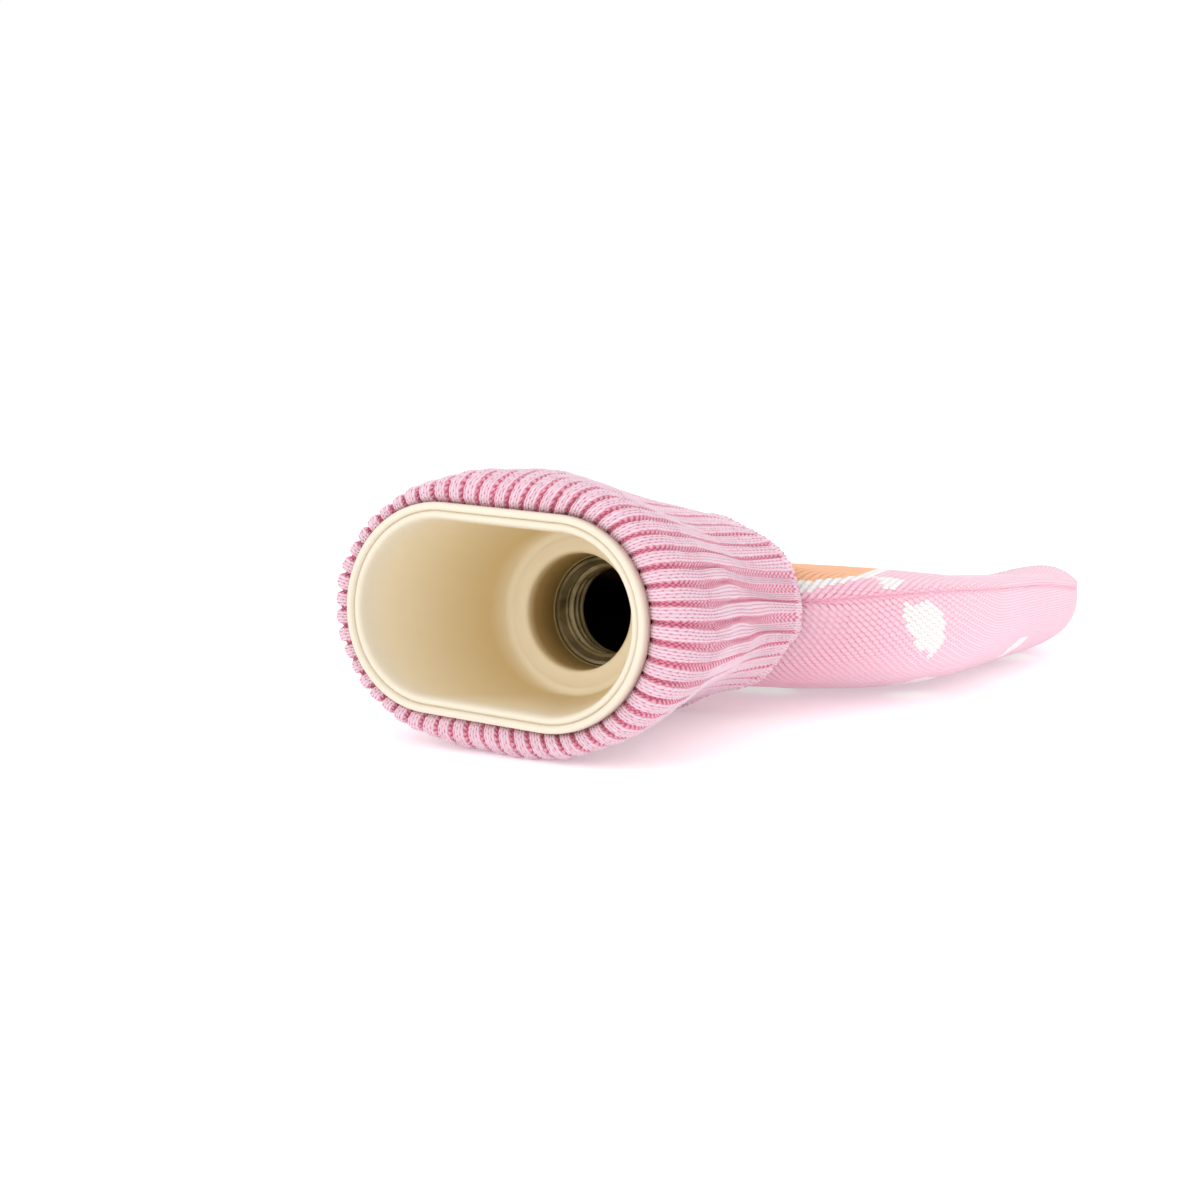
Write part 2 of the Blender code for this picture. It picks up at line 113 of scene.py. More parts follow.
# The collar's fold at the rim, as an offset from the rim, and the cuff behind it, as its own half sizes.
COLLAR_FOLD = (
    # back, sides, top, underneath, round, upper right, upper left, lower right
    (3.9, -0.3, -0.3, -0.3, 24.6, 2.0, 2.0, 2.0),
    (1.9, 2.2, 2.4, 1.9, 28.0, 2.0, 1.97, 2.0),
    (1.5, 4.0, 4.4, 3.4, 32.0, 2.0, 1.92, 2.0),
    (2.8, 5.6, 6.2, 4.9, 37.0, 2.0, 1.84, 1.95),
    (5.6, 6.9, 7.7, 6.2, 42.0, 2.0, 1.80, 1.88),
    (10.0, 7.6, 8.5, 6.8, 47.5, 2.0, 1.81, 1.80),
    (18.0, 7.7, 8.3, 6.2, 48.5, 2.0, 1.90, 1.70),
)
CUFF_SHAPE = (
    # back, half width, above, below, round, upper right, upper left, lower right
    (32.0, 47.8, 31.4, 30.2, 47.0, 2.0, 1.90, 1.52),
    (46.0, 45.6, 29.8, 28.0, 45.0, 2.05, 1.85, 1.46),
    (60.0, 44.2, 27.8, 26.0, 43.0, 2.4, 1.90, 1.48),
    (CUFF_END, 45.0, 25.2, 24.6, 42.0, 3.3, 1.95, 1.50),
)
COLLAR_SHIFT = 2.9
# Waves of the cuff's free edge: number round it, height in mm, start in radians.
EDGE_WAVES = ((3, 1.6, 2.6), (7, 0.9, 0.0))

# The bottle under the cover.
ROUND_POINTS = 240
RUBBER = 2.8
BODY_GAP = 1.2
CAVITY_INSET = 9.0
FUNNEL_DEPTH = 40.0
FLOOR_RADIUS = 20.8
RECESS_RADIUS = 14.8
RECESS_DEPTH = 12.0
BORE_RADIUS = 14.2
BORE_END = 68.0
# The rim has a round outer bead, a fine groove and a narrower inner bead: distance back, distance inward.
LIP_ROWS = (
    (3.0, 0.02), (1.2, 0.0), (0.5, 0.12), (0.15, 0.4), (0.0, 0.85), (0.05, 1.35), (0.3, 1.7), (0.95, 1.9),
    (1.25, 2.0), (1.0, 2.15), (0.7, 2.4), (0.6, 2.8), (0.75, 3.3), (1.15, 3.65), (1.7, 3.9),
)
LIP_WIDTH = 4.2
LIP_DEPTH = 3.2
# Sections of the funnel's outside and of the hollow, by their distance back.
FUNNEL_BACKS = (58, 54, 50, 48, 44, 40, 34, 28, 22, 16, 10, 7, 4)
CAVITY_BACKS = (73, 78, 86, 98, 115, 140, 168, 195, 216, 232, 242)
INSERT_START = FUNNEL_DEPTH + RECESS_DEPTH + 2.6
INSERT_LENGTH = 9.2
INSERT_RADIUS = BORE_RADIUS - 0.3
INSERT_CHAMFER = 0.9
THREAD_START = 1.8      # behind the insert's front, after its chamfer
THREAD_CREST = 11.0
THREAD_ROOT = 12.2
THREAD_PITCH = 2.4

# Colours of the rubber at distances down the neck: cream at the rim, with painted shade making it yellower
# down the funnel's wall.
NECK_DEPTH = 70.0
RUBBER_COLOURS_AND_SHADE = (
    (0.0, "#E3D9C6"),
    (3.5, "#E3D8C2"),
    (8.0, "#E6D7B8"),
    (36.0, "#E0C998"),
    (41.0, "#F2E6CB"),
    (43.0, "#EFE0BE"),
    (45.0, "#C8AB78"),
    (53.0, "#9C8652"),
    (66.0, "#7A5A34"),
)

# The ribbed collar's stitches: two knit wales and a purl valley to a rib.
RIBS = 56
WALES_PER_RIB = 3
COLUMNS_PER_WALE = 4
RIB_STEPS = WALES_PER_RIB * COLUMNS_PER_WALE
KNIT_STEPS = RIB_STEPS - COLUMNS_PER_WALE
ROWS_PER_COURSE = 3
RIB_COURSES = (
    # millimetres along the collar, length of a course there
    (0.0, 1.35),
    (26.0, 1.4),
    (40.0, 1.8),
    (120.0, 2.0),
)
COLLAR_PLACES = np.linspace(0.0, RIB_COURSES[-1][0], 2401)
ROLL_CREST = 16.0       # top of the roll, in millimetres along the collar
FOLD_END = (5, 2.0)     # the fold ends at this ring of its table and so many millimetres behind it
OPEN_VALLEYS = (0, 2, 3)
LEG_SLANT = 0.56        # how far up its course a stitch's leg leans from the wale's edge to its middle
# How the ribs wander on the cuff: part of a rib, waves round it, millimetres to a radian, start.
RIB_WANDER = ((0.18, 5, 26.0, 0.0), (0.07, 13, 17.0, 1.3), (0.05, 29, 7.0, 0.4))
HIDDEN_DEPTH = 2.2      # from the cloth's smooth outside to its hidden face
HIDDEN_PAINTED_SHADING = 0.6       # painted shade, a deeper colour, on the faces that aren't seen

# The panels: their stitches' relief as a part of the collar's, and their hidden and resting faces.
PANEL_RELIEF = 0.4
PANEL_HIDDEN_COLUMNS = 13
RESTING_WALES = 18
EDGE_PART = 0.9985      # normals are taken just inside the seam

# The stage: glow of the floor and of the world, and the two soft boxes, as place and size in metres.
FLOOR_GLOW = 0.25
WORLD_STRENGTH = 1.02
TOP_BOX = ((0.3, 0.4, 1.2), 1.6)
FRONT_BOX = ((-0.35, -1.1, 0.8), 0.8)
# The camera: its turn and rise about the mouth, and millimetres back, right and up from there.
CAMERA_AZIMUTH = math.radians(29.5)
CAMERA_ELEVATION = math.radians(7.5)
CAMERA_OFFSET = (415.0, 25.94, 3.69)


# ---------------------------------------------------------------- colours and nodes

def settings():
    """The sizes and colours that a user can change."""
    return bpy.context.scene.cover_settings


def in_mm(length):
    """Millimetres of a length property, without the last digits that single precision adds."""
    return round(length / MM, 4)


def linear(hex_colour):
    """Linear red, green, blue and alpha of an sRGB hex colour."""
    values = [int(hex_colour[i:i + 2], 16) / 255 for i in (1, 3, 5)]
    return [v / 12.92 if v <= 0.04045 else ((v + 0.055) / 1.055) ** 2.4 for v in values] + [1.0]


def add_node(material, kind, links=(), stops=(), **values):
    """Adds a node: its inputs by number or name, its own values, a ramp's stops, and links to its inputs.

    A link comes from a socket, or from the first output of a node.
    """
    node = material.node_tree.nodes.new("ShaderNode" + kind)
    for name, value in values.items():
        if name.startswith("in_"):
            key = name[3:]
            node.inputs[int(key) if key.isdigit() else key.replace("_", " ")].default_value = value
        else:
            setattr(node, name, value)
    for number, (place, colour) in enumerate(stops):
        elements = node.color_ramp.elements
        if number == 0:
            elements.remove(elements[0])
        stop = elements.new(place) if number else elements[0]
        stop.position = place
        stop.color = linear(colour)
    for socket, source in links:
        if isinstance(source, bpy.types.Node):
            source = source.outputs[0]
        material.node_tree.links.new(source, node.inputs[socket])
    return node


def new_material(name, **inputs):
    """A material and its shader, whose inputs are set by name."""
    material = bpy.data.materials.new(name)
    material.use_nodes = True
    shader = material.node_tree.nodes["Principled BSDF"]
    for key, value in inputs.items():
        shader.inputs[key.replace("_", " ")].default_value = value
    return material, shader


def knit_material(name, ribbed):
    """Soft acrylic yarn, knitted by machine.

    It is matt, with a faint halo of fibres, and dark lines show between its stitches.
    """
    # The lines of the rib are deeper than those of stocking stitch.
    line_depth, darkest_yarn, bump_strength = (0.52, 0.32, 0.7) if ribbed else (0.42, 0.4, 0.4)
    material, shader = new_material(name, Roughness=0.95, Sheen_Weight=0.25, Sheen_Roughness=0.5,
                                    Sheen_Tint=linear("#FFE6EE"), Specular_IOR_Level=0.1)
    add = partial(add_node, material)
    # The attribute holds painted light and shade: low values paint the yarn deeper in colour, high ones paint
    # it paler.
    painted_shading = add("Attribute", attribute_name="painted_shading")
    place = add("TexCoord")
    # One unit of the map is one wale across and one course along, pushed about a little as slack yarn is.
    slack = add("TexNoise", [("Vector", place.outputs["Object"])], in_Scale=330.0, in_Detail=1.0)
    push = add("VectorMath", [(0, slack.outputs["Color"])], operation="MULTIPLY_ADD",
               in_1=(0.3, 0.3, 0.0), in_2=(-0.15, -0.15, 0.0))
    stitch = add("VectorMath", [(0, place.outputs["UV"]), (1, push)], operation="ADD")
    split = add("SeparateXYZ", [(0, stitch)])
    wale, course = split.outputs["X"], split.outputs["Y"]
    middle = add("Math", [(0, wale)], operation="PINGPONG", in_1=0.5)
    leaning = add("Math", [(0, middle), (2, course)], operation="MULTIPLY_ADD",
                  in_1=2 * LEG_SLANT)
    flank = add("Math", [(0, middle)], operation="PINGPONG", in_1=0.25)
    line = add("MapRange", [("Value", flank)], interpolation_type="SMOOTHSTEP",
               in_1=0.0, in_2=0.15, in_3=1.0, in_4=0.0)
    gap = add("Math", [(0, leaning)], operation="PINGPONG", in_1=0.5)
    joint = add("MapRange", [("Value", gap)], interpolation_type="SMOOTHSTEP",
                in_1=0.0, in_2=0.24, in_3=1.0, in_4=0.0)
    # A line is darkest where a joint meets it, and a joint only just shows on the leg itself.
    darker = add("Math", [(0, joint)], operation="MULTIPLY_ADD", in_1=0.4,
                 in_2=line_depth)
    dark = add("Math", [(0, line), (1, darker)], operation="MULTIPLY")
    darkest = add("Math", [(0, joint), (2, dark)],
                  operation="MULTIPLY_ADD", in_1=0.3)
    yarn = add("Math", [(1, darkest)], operation="SUBTRACT", in_0=1.0)
    if ribbed:
        # In the purl valleys the yarn shows as short bumps, set like bricks.
        third = add("Math", [(0, wale)], operation="MULTIPLY", in_1=1.5)
        half = add("Math", [(0, third)], operation="FRACT")
        brick = add("Math", [(0, half)], operation="GREATER_THAN", in_1=0.5)
        staggered = add("Math", [(0, brick), (2, course)], operation="MULTIPLY_ADD",
                        in_1=0.5)
        bump_gap = add("Math", [(0, staggered)], operation="PINGPONG", in_1=0.5)
        bead = add("MapRange", [("Value", bump_gap)],
                   interpolation_type="SMOOTHSTEP", in_1=0.08, in_2=0.4)
        turn = add("Math", [(0, wale)], operation="MODULO", in_1=float(WALES_PER_RIB))
        purl = add("Math", [(0, turn)], operation="GREATER_THAN", in_1=2.0)
        yarn = add("Mix", [(0, purl), (2, yarn), (3, bead)])
    lines = add("MapRange", [("Value", yarn)], in_3=darkest_yarn, in_4=1.0)
    # The dark lines between stitches, times the painted light and shade, choose the colour from the ramp.
    depth = add("Math", [(0, lines), (1, painted_shading.outputs["Fac"])], operation="MULTIPLY")
    ramp = add("ValToRGB", [(0, depth)],
               stops=((0.12, settings().deep), (0.5, settings().middle), (0.92, settings().light)))
    # Uneven dye and wear, in blotches about as wide as a finger.
    blotch = add("TexNoise", [("Vector", place.outputs["Object"])], in_Scale=38.0, in_Detail=3.0)
    tone = add("MapRange", [("Value", blotch.outputs["Fac"])], in_3=0.94, in_4=1.04)
    toned = add("VectorMath", [(0, ramp.outputs["Color"]), ("Scale", tone.outputs["Result"])],
                operation="SCALE")
    # White and orange yarn, stitch by stitch, with the same lines between and the same painted light and
    # shade.
    dye = add("Attribute", attribute_name="dye")
    yarns = add("SeparateColor", [(0, dye.outputs["Color"])])
    shade = add("MapRange", [("Value", depth)], in_1=0.3, in_2=0.85, in_3=0.62,
                in_4=1.0)
    colour = toned.outputs["Vector"]
    for channel, paint in (("Red", settings().white), ("Green", settings().accent)):
        flat = add("VectorMath", [("Scale", shade.outputs["Result"])], operation="SCALE",
                   in_0=linear(paint)[:3])
        mix = add("Mix", [(0, yarns.outputs[channel]), (6, colour), (7, flat.outputs["Vector"])],
                  data_type="RGBA")
        colour = mix.outputs[2]
    material.node_tree.links.new(colour, shader.inputs["Base Color"])
    stitches = add("Bump", [("Height", yarn)], in_Strength=bump_strength, in_Distance=0.0004)
    # Loose fibres of the yarn, about 0.3 mm apart.
    fuzz = add("TexNoise", [("Vector", place.outputs["Object"])], in_Scale=2600.0,
               in_Detail=2.0, in_Roughness=0.6)
    bump = add("Bump", [("Height", fuzz.outputs["Fac"]), ("Normal", stitches.outputs["Normal"])],
               in_Strength=0.3, in_Distance=0.0002)
    material.node_tree.links.new(bump.outputs["Normal"], shader.inputs["Normal"])
    return material


def rubber_material():
    """Moulded natural rubber: cream and matt to satin, with painted shade that makes it yellower down inside
    the funnel.
    """
    material, shader = new_material("moulded cream rubber", Roughness=0.48)
    add = partial(add_node, material)
    place = add("TexCoord")
    clouds = add("TexNoise", [("Vector", place.outputs["Object"])], in_Scale=30.0, in_Detail=4.0)
    # Cream at the rim and pale on the funnel's floor; painted shade makes it yellower down the funnel's wall,
    # and it turns darker and browner down the recess behind the floor.
    depth = add("VectorMath", [(0, place.outputs["Object"])], operation="DOT_PRODUCT",
                in_1=(0.0, math.cos(TILT), -math.sin(TILT)))
    rim = (RIM_Y * math.cos(TILT) - MOUTH_HEIGHT * math.sin(TILT)) * MM
    part = add("MapRange", [("Value", depth.outputs["Value"])], in_1=rim,
               in_2=rim + NECK_DEPTH * MM)
    ramp = add("ValToRGB", [(0, part)],
               stops=[(back / NECK_DEPTH, colour) for back, colour in RUBBER_COLOURS_AND_SHADE])
    tone = add("MapRange", [("Value", clouds.outputs["Fac"])], in_3=0.95, in_4=1.04)
    toned = add("VectorMath", [(0, ramp.outputs["Color"]), ("Scale", tone)],
                operation="SCALE")
    material.node_tree.links.new(toned.outputs[0], shader.inputs["Base Color"])
    grain = add("TexNoise", [("Vector", place.outputs["Object"])], in_Scale=500.0, in_Detail=3.0)
    bump = add("Bump", [("Height", grain.outputs["Fac"])], in_Strength=0.2, in_Distance=0.0002)
    material.node_tree.links.new(bump.outputs["Normal"], shader.inputs["Normal"])
    return material


def insert_material():
    """Dull nickelled brass, gone grey-green, with rubber dust in its thread."""
    material, shader = new_material("dull nickelled brass", Roughness=0.5, Metallic=0.7)
    add = partial(add_node, material)
    place = add("TexCoord")
    dirt = add("TexNoise", [("Vector", place.outputs["Object"])], in_Scale=160.0, in_Detail=5.0)
    ramp = add("ValToRGB", [(0, dirt.outputs["Fac"])],
               stops=((0.3, "#6E6244"), (0.5, "#9A8E6E"), (0.75, "#B5AA8C")))
    material.node_tree.links.new(ramp.outputs["Color"], shader.inputs["Base Color"])
    return material


# ---------------------------------------------------------------- curves and sections

def eased(rows, places):
    """Values of a table at places, on smooth curves through its rows."""
    table = np.array(rows, float)
    x, y = table[:, 0], table[:, 1:]
    slope = np.diff(y, axis=0) / np.diff(x)[:, None]
    tangent = np.vstack([slope[:1], (slope[1:] + slope[:-1]) / 2, slope[-1:]])
    places = np.clip(places, x[0], x[-1])
    k = np.clip(np.searchsorted(x, places, side="right") - 1, 0, len(x) - 2)
    step = (x[k + 1] - x[k])[..., None]
    t = ((places - x[k]) / (x[k + 1] - x[k]))[..., None]
    return ((2 * t ** 3 - 3 * t ** 2 + 1) * y[k] + (t ** 3 - 2 * t ** 2 + t) * step * tangent[k]
            + (-2 * t ** 3 + 3 * t ** 2) * y[k + 1] + (t ** 3 - t ** 2) * step * tangent[k + 1])


def rise(value, start, length):
    """0 up to a place, 1 from a length beyond it, and straight in between."""
    return np.clip((value - start) / length, 0.0, 1.0)


def bell(value, middle, width):
    """1 at a place, falling away smoothly on both its sides."""
    return np.exp(-((value - middle) / width) ** 2)


def quarter(value, power=2.0):
    """Rounded fall from 1 at 0 to 0 at 1, as a quarter of a superellipse."""
    return np.maximum(0.0, 1.0 - np.minimum(1.0, np.abs(value)) ** power) ** (1.0 / power)


def track(shape, parts):
    """Points at parts from 0 to 1 of the way round a section, from +X over the top."""
    half_width, above, below, side, upper_right, upper_left, lower_right = shape
    straight = half_width - side
    angle = np.linspace(0.0, 2 * math.pi, 1441)
    across, upright = np.cos(angle), np.sin(angle)
    power = np.select([angle < math.pi / 2, angle < math.pi, angle < 1.5 * math.pi],
                      [upper_right, upper_left, 2.0], lower_right)
    height = np.where(angle < math.pi, above, below)
    x = np.copysign(straight, across) + side * across
    z = height * np.copysign(quarter(across, power), upright)
    gone = np.concatenate([[0.0], np.cumsum(np.hypot(np.diff(x), np.diff(z)))])
    target = (parts % 1.0) * gone[-1]
    return np.interp(target, gone, x), np.interp(target, gone, z)


def on_neck(x, z, back):
    """Points of a section at a distance back on the leaning axis of the neck, in the frame."""
    across = x * math.cos(TWIST) - z * math.sin(TWIST)
    up = x * math.sin(TWIST) + z * math.cos(TWIST)
    return np.stack([
        across,
        RIM_Y + back * math.cos(TILT) + up * math.sin(TILT),
        MOUTH_HEIGHT - back * math.sin(TILT) + up * math.cos(TILT),
    ], axis=-1)


def rim_shape(sides, top, underneath, *rounding):
    """A section that stands out from the rim by these offsets."""
    return (MOUTH_HALF_WIDTH + sides, MOUTH_HALF_HEIGHT + top, MOUTH_HALF_HEIGHT + underneath, *rounding)


def stadium(half_width, half_height):
    """A section with round ends and flat sides."""
    return half_width, half_height, half_height, half_height, 2.0, 2.0, 2.0


def funnel_section(back, stand):
    """Section of the funnel's outside at a distance back, standing off by so much."""
    half, high = eased(FUNNEL_OUTSIDE, np.array([back]))[0]
    return stadium(half + stand, high + stand)


def plan_outline(back):
    """Half width of the body at distances back."""
    shoulder = quarter(1.0 - rise(back, SHOULDER_START, SHOULDER_LENGTH), SHOULDER_POWER)
    wide = SLEEVE_HALF_WIDTH + (WIDTH / 2 - SLEEVE_HALF_WIDTH) * shoulder
    corner = rise(back, LENGTH - CORNER_RADIUS, CORNER_RADIUS)
    return wide - CORNER_RADIUS * (1.0 - quarter(corner))


def panel_points(upper, across, back, inset=0.0):
    """Points of the body's upper or lower surface at parts of the half width and distances back, moved in."""
    step = 0.05
    slope = (plan_outline(back + step) - plan_outline(back - step)) / (2 * step)
    slope = np.where(back > LENGTH - step, -1e3, slope)
    size = np.hypot(1.0, slope)
    half = plan_outline(back) - inset / size
    place = back + inset * slope / size
    seam, middle, edge, belly = np.moveaxis(eased(BODY_HEIGHTS, place), -1, 0)
    body = rise(place, BODY_START, SLEEVE_BLEND)
    if upper:
        end = quarter(rise(back, LENGTH - TOP_ROUNDING, TOP_ROUNDING))
        dome = quarter(across) * (1.0 - body) + (1.0 - across ** 2) * body
        high = (middle - seam - edge) * dome + edge * quarter(across, 5.0)
        high += LOBE_HEIGHT * body * (4.0 * across ** 2 * (1.0 - across ** 2)) ** 2
        puff = bell(across, PUFF_PLACE, PUFF_WIDTH) * bell(place, PUFF_BACK, PUFF_LENGTH)
        high += PUFF_HEIGHT * puff * quarter(across, 5.0)
        z = seam + (high - inset * quarter(across, 6.0)) * end
    else:
        end = quarter(rise(back, LENGTH - END_ROUNDING, END_ROUNDING), 2.2)
        floor = np.maximum(0.0, seam - (seam - belly) * quarter(across, 1.8 + 1.2 * body) * end)
        z = np.minimum(seam, floor + inset * quarter(across, 6.0) * end)
    return np.stack([half * across, RIM_Y + place, z], axis=-1)


# ---------------------------------------------------------------- meshes

def mesh_piece(name, points, quads, material, triangles=(), uv=None, period=None, painted_shading=None, dye=None,
               replaced=(), sharp=None):
    """A piece from points in millimetres, with its stitch map, its painted light and shade and its dyed
    faces.
    """
    mesh = bpy.data.meshes.new(name)
    quads, triangles = np.asarray(quads).reshape(-1, 4), np.asarray(triangles, int).reshape(-1, 3)
    mesh.vertices.add(len(points))
    mesh.vertices.foreach_set("co", (np.asarray(points) * MM).ravel())
    corners = np.concatenate([quads.ravel(), triangles.ravel()])
    starts = np.concatenate([np.arange(len(quads)) * 4, quads.size + np.arange(len(triangles)) * 3])
    mesh.loops.add(len(corners))
    mesh.loops.foreach_set("vertex_index", corners)
    mesh.polygons.add(len(starts))
    mesh.polygons.foreach_set("loop_start", starts)
    mesh.update(calc_edges=True)
    if uv is not None:
        spots = np.asarray(uv, float)[corners]
        if period:
            across = spots[:quads.size, 0].reshape(-1, 4)
            wrapped = np.ptp(across, axis=1) > period / 2
            across[wrapped] += np.where(across[wrapped] < period / 2, period, 0.0)
        mesh.uv_layers.new(name="stitches").data.foreach_set("uv", spots.ravel())
    if painted_shading is not None:
        mesh.attributes.new("painted_shading", "FLOAT", "POINT").data.foreach_set("value", np.asarray(painted_shading, float))
        paint = np.zeros((len(corners), 4))
        if dye is not None:
            paint[:quads.size] = np.repeat(dye, 4, axis=0)
        mesh.attributes.new("dye", "FLOAT_COLOR", "CORNER").data.foreach_set("color", paint.ravel())
    mesh.materials.append(material)
    work = bmesh.new()
    work.from_mesh(mesh)
    bmesh.ops.remove_doubles(work, verts=work.verts, dist=2e-6)
    bmesh.ops.recalc_face_normals(work, faces=work.faces)
    if work.calc_volume(signed=True) < 0.0:
        bmesh.ops.reverse_faces(work, faces=work.faces)
    work.to_mesh(mesh)
    work.free()
    mesh.shade_smooth()
    if sharp:
        mesh.set_sharp_from_angle(angle=math.radians(sharp))
    item = bpy.data.objects.new(name, mesh)
    bpy.context.scene.collection.objects.link(item)
    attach(item, "root")
    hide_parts(*replaced)
    return item


def grid_faces(rows, columns, wrap_rows=False, wrap_columns=False):
    """Quads between neighbours in a grid of points, closed on itself where asked."""
    index = np.arange(rows * columns).reshape(rows, columns)
    after = np.roll(index, -1, axis=1)
    below = np.roll(index, -1, axis=0)
    both = np.roll(below, -1, axis=1)
    last_row = rows if wrap_rows else rows - 1
    last_column = columns if wrap_columns else columns - 1
    quads = np.stack([index, after, both, below], axis=-1)[:last_row, :last_column]
    return quads.reshape(-1, 4)


def outward(points):
    """Unit normals of a grid of points that is closed in its columns, away from the neck's axis."""
    around = np.roll(points, -1, axis=1) - np.roll(points, 1, axis=1)
    along = np.gradient(points, axis=0)
    normal = np.cross(along, around)
    normal /= np.linalg.norm(normal, axis=-1, keepdims=True) + 1e-12
    return normal


# ---------------------------------------------------------------- the ribbed collar

def open_valley(rib, levels):
    """1 in the valleys that stay open down the cuff, growing from 0 behind the roll."""
    return np.isin(rib, OPEN_VALLEYS) * rise(levels, 30.0, 9.0)


def rib_columns(levels):
    """Part of the way round at each level, wale number, and step within its rib of each column of points."""
    rib = np.repeat(np.arange(RIBS), RIB_STEPS)
    step = np.tile(np.arange(RIB_STEPS), RIBS)
    angle = 2 * math.pi * (rib + 0.5) / RIBS
    # The purl valleys open over the roll's crest, most on the right, and a few stay open down the cuff.
    side = bell((angle + 0.15 + math.pi) % (2 * math.pi), math.pi, 0.8)
    knit_share = (0.72 + 0.06 * rise(levels, 20.0, 14.0) + 0.03 * np.sin(rib * 1.7)
                  - 0.17 * bell(levels, ROLL_CREST, 8.0) * (0.25 + 0.75 * side)
                  - 0.26 * open_valley(rib, levels))
    within = np.where(step <= KNIT_STEPS, step / KNIT_STEPS * knit_share,
                      knit_share + (step - KNIT_STEPS) / COLUMNS_PER_WALE * (1 - knit_share))
    return (rib + within) / RIBS, rib * WALES_PER_RIB + step / COLUMNS_PER_WALE, step


def collar_surface():
    """Smooth sections of the collar's outside from the lip to its free edge, and their places along it."""
    shapes = [(back, rim_shape(*offsets)) for back, *offsets in COLLAR_FOLD]
    shapes += [(back, shape) for back, *shape in CUFF_SHAPE]
    parts = np.linspace(0.0, 1.0, RIBS * 24 + 1)
    rings = []
    for back, shape in shapes:
        x, z = track(shape, parts)
        shift = max(0.0, COLLAR_SHIFT * (shape[0] - MOUTH_HALF_WIDTH) / COLLAR_FOLD[-1][1])
        rings.append(on_neck(x + shift, z, back))
    rings = np.array(rings)
    lengths = np.linalg.norm(np.diff(rings, axis=0), axis=-1).mean(axis=1)
    along = np.concatenate([[0.0], np.cumsum(lengths)])
    return parts, rings, along


def courses_along(levels):
    """Course number at places along the collar."""
    length = np.interp(COLLAR_PLACES, *np.transpose(RIB_COURSES))
    number = np.concatenate([[0.0], np.cumsum(np.diff(COLLAR_PLACES) / length[1:])])
    return np.interp(levels, COLLAR_PLACES, number)


def levels_at(courses):
    """Places along the collar of course numbers, the other way round."""
    return np.interp(courses, courses_along(COLLAR_PLACES), COLLAR_PLACES)


def sample_collar(rows, columns):
    """Points of the collar's smooth surface at places along it and places round it, both given as grids."""
    parts, rings, along = collar_surface()
    table = np.concatenate([along[:, None], rings.reshape(len(rings), -1)], axis=1)
    levels = np.linspace(rows.min(), rows.max(), 480)
    dense = eased(table, levels).reshape(len(levels), -1, 3)
    row_place = (rows - levels[0]) / (levels[1] - levels[0])
    column_place = (columns % 1.0) * (len(parts) - 1)
    row_low = np.clip(row_place.astype(int), 0, len(levels) - 2)
    column_low = np.clip(column_place.astype(int), 0, len(parts) - 2)
    s, t = (row_place - row_low)[..., None], (column_place - column_low)[..., None]
    return ((dense[row_low, column_low] * (1 - s) + dense[row_low + 1, column_low] * s) * (1 - t)
            + (dense[row_low, column_low + 1] * (1 - s) + dense[row_low + 1, column_low + 1] * s) * t)


def stitch_shape(column, course):
    """Lean of each column, how near it is to the middle of a leg, and the courses' wave along it."""
    middle = 1.0 - np.abs(2.0 * (column % 1.0) - 1.0)
    lean = LEG_SLANT * (0.5 - middle)
    leg = 1.0 - np.abs(2.0 * middle - 1.0)
    return lean, leg, -np.cos(2 * math.pi * (course + LEG_SLANT * 0.5))


